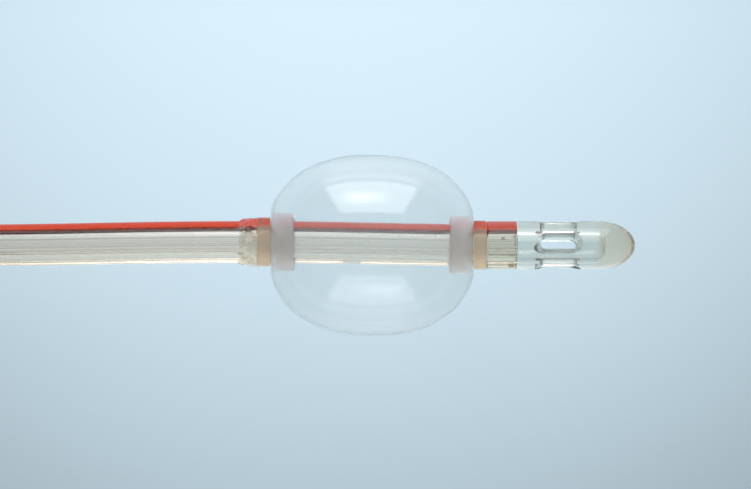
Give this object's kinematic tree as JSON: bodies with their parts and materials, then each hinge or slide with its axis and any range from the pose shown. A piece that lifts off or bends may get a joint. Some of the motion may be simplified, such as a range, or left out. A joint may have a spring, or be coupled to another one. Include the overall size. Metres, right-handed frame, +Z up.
{
  "type": "foley urinary catheter",
  "caption": "Clear silicone balloon catheter with an eyed tip, an air-filled retention balloon, one coiled turn of shaft and a Y connector with a spring valve.",
  "frame": {"origin": "on the floor, under the middle of the balloon end, which runs from the bead at the proximal cuff to the tip", "axes": "+X along the catheter toward its tip, +Z up from the floor that it lies on, +Y toward the contrast stripe"},
  "size_m": [0.2205, 0.0758, 0.0258],
  "materials": {
    "shaft_silicone": "clear, glossy",
    "tip_silicone": "clear, glossy",
    "balloon_silicone": "thin, milky clear, glossy",
    "adhesive": "cured silicone adhesive, satin",
    "stripe_red": "satin",
    "connector_silicone": "translucent, satin",
    "band_red": "satin",
    "valve_plastic": "moulded",
    "seal_rubber": "matte",
    "spring_steel": "drawn wire"
  },
  "bodies": {
    "root": {"tip": "tip_silicone", "distal_shaft": "shaft_silicone", "contrast_stripe": "stripe_red", "inflation_plug": "adhesive", "balloon": "balloon_silicone", "proximal_bead": "adhesive", "shaft_lead": "shaft_silicone", "shaft_coil": "shaft_silicone", "shaft_tail": "shaft_silicone", "y_connector": "connector_silicone", "size_band": "band_red", "valve_body": "valve_plastic", "valve_base": "valve_plastic", "valve_spring": "spring_steel"},
    "valve_plunger": {"valve_stem": "valve_plastic", "valve_seal": "seal_rubber"}
  },
  "joints": [
    {"name": "valve_travel", "type": "slide", "parent": "root", "child": "valve_plunger", "axis": [0.8829, 0.4695, 0], "range_m": [0, 0.0018], "stiffness_N_per_m": 600, "springref_m": -0.001, "deforming": ["valve_spring"]}
  ]
}
